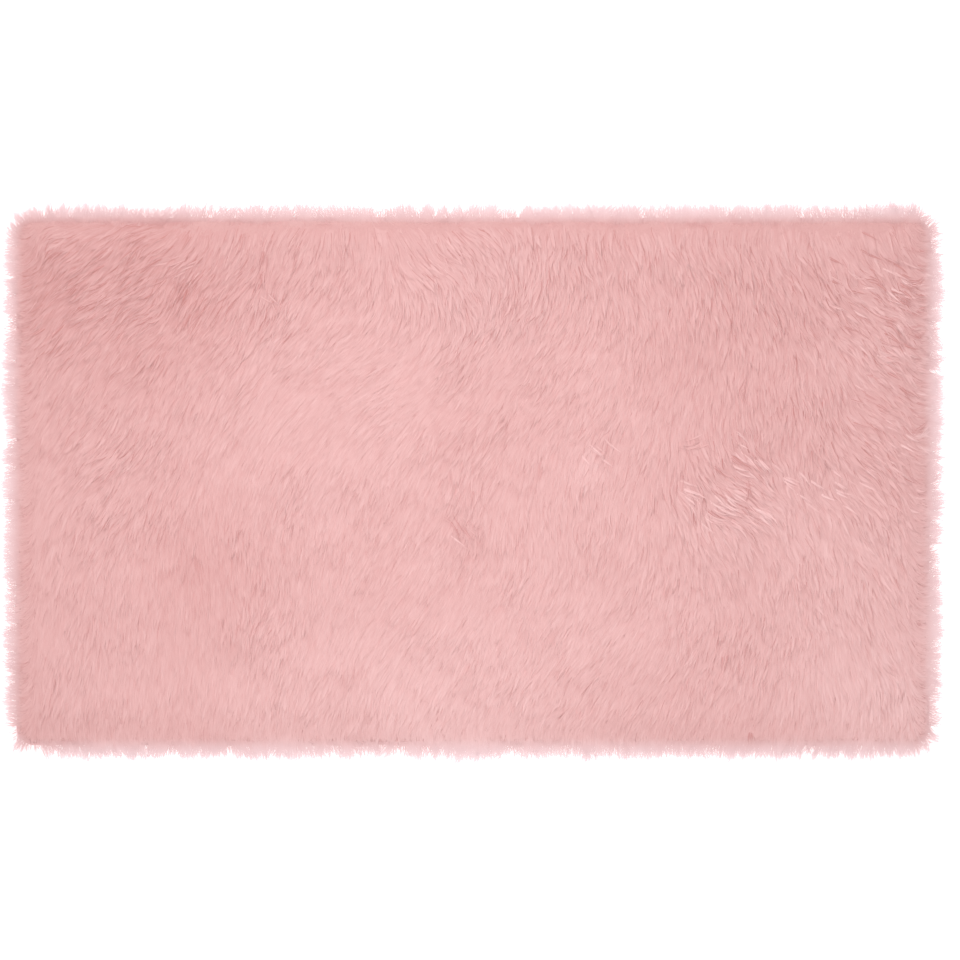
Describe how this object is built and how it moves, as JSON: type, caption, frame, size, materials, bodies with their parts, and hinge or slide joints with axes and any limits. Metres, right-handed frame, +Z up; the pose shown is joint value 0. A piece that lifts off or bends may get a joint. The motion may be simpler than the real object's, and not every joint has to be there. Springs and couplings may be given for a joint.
{
  "type": "faux sheepskin rug",
  "caption": "Rectangular long-pile faux fur floor rug: a lumpy slab of combed pink pile with slightly rounded corners, its rim broken up into soft pointed locks.",
  "frame": {"origin": "the middle of the flat underside, on the floor", "axes": "+X along the rug's length, to the right of the picture; +Y across it, away from where most of the nap lies; +Z up"},
  "size_m": [1.55, 0.912, 0.0344],
  "materials": {
    "fur": "soft matte long-pile acrylic fur, dusty pink, with a slight sheen along the nap"
  },
  "bodies": {
    "root": {"fur_rug": "fur"}
  },
  "joints": []
}
